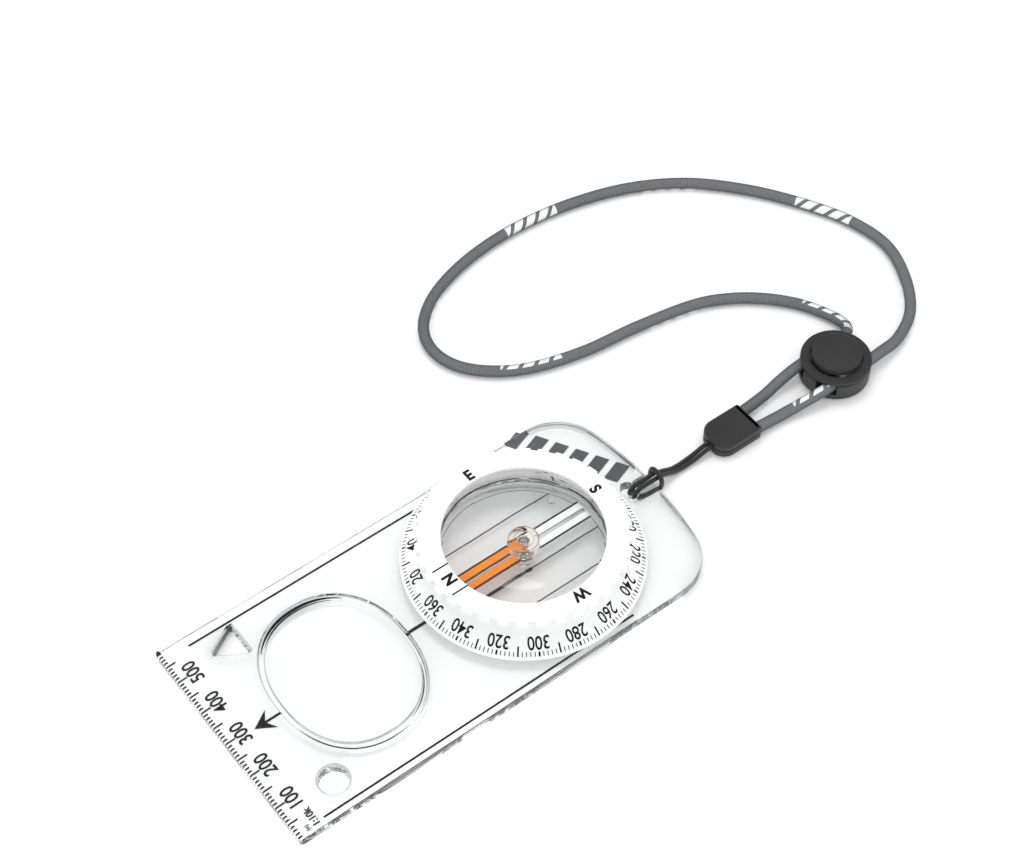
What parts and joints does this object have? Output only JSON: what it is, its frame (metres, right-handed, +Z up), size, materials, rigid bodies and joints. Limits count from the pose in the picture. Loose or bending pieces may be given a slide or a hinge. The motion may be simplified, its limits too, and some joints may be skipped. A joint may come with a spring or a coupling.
{
  "type": "baseplate compass",
  "caption": "Clear orienteering baseplate with a turning dial housing over a magnetic needle, a moulded magnifier, marking stencils and a neck lanyard with a cord lock.",
  "frame": {"origin": "on the resting surface, under the middle of the baseplate", "axes": "+Z up through the dial, +Y along the baseplate in the direction of travel, +X to the user's right"},
  "size_m": [0.1182, 0.2225, 0.0123],
  "materials": {
    "clear_acrylic": "clear, polished",
    "white_plastic": "satin",
    "orange_paint": "satin",
    "white_paint": "satin",
    "steel": "bright",
    "sapphire": "polished",
    "magnet": "dark",
    "leash_black": "thin braided cord",
    "cord_grey": "woven cord sleeve",
    "black_plastic": "fine texture"
  },
  "bodies": {
    "plate": {"baseplate": "clear_acrylic", "leash_cord": "leash_black", "clasp_base": "black_plastic", "clasp_top": "black_plastic", "lanyard_cord": "cord_grey", "lock_body": "black_plastic", "lock_collar": "black_plastic", "lock_spring": "steel"},
    "housing": {"dial_ring": "white_plastic", "capsule_base": "clear_acrylic", "fill_plug": "white_plastic", "capsule_lid": "clear_acrylic", "retaining_ring": "white_plastic", "pivot_pin": "steel"},
    "needle": {"needle_hub": "clear_acrylic", "jewel_bearing": "sapphire", "needle_north": "orange_paint", "needle_south": "white_paint", "needle_magnet": "magnet"},
    "button": {"lock_button": "black_plastic"}
  },
  "joints": [
    {"name": "housing_turn", "type": "hinge", "parent": "plate", "child": "housing", "pos_m": [0, -0.0223, 0], "axis": [0, 0, 1], "continuous": true},
    {"name": "needle_swing", "type": "hinge", "parent": "housing", "child": "needle", "pos_m": [0, -0.0223, 0.0082], "axis": [0, 0, 1], "continuous": true},
    {"name": "button_press", "type": "slide", "parent": "plate", "child": "button", "axis": [0, 0, -1], "range_m": [0, 0.001], "stiffness_N_per_m": 1500, "springref_m": -0.001, "deforming": ["lock_spring"]}
  ]
}
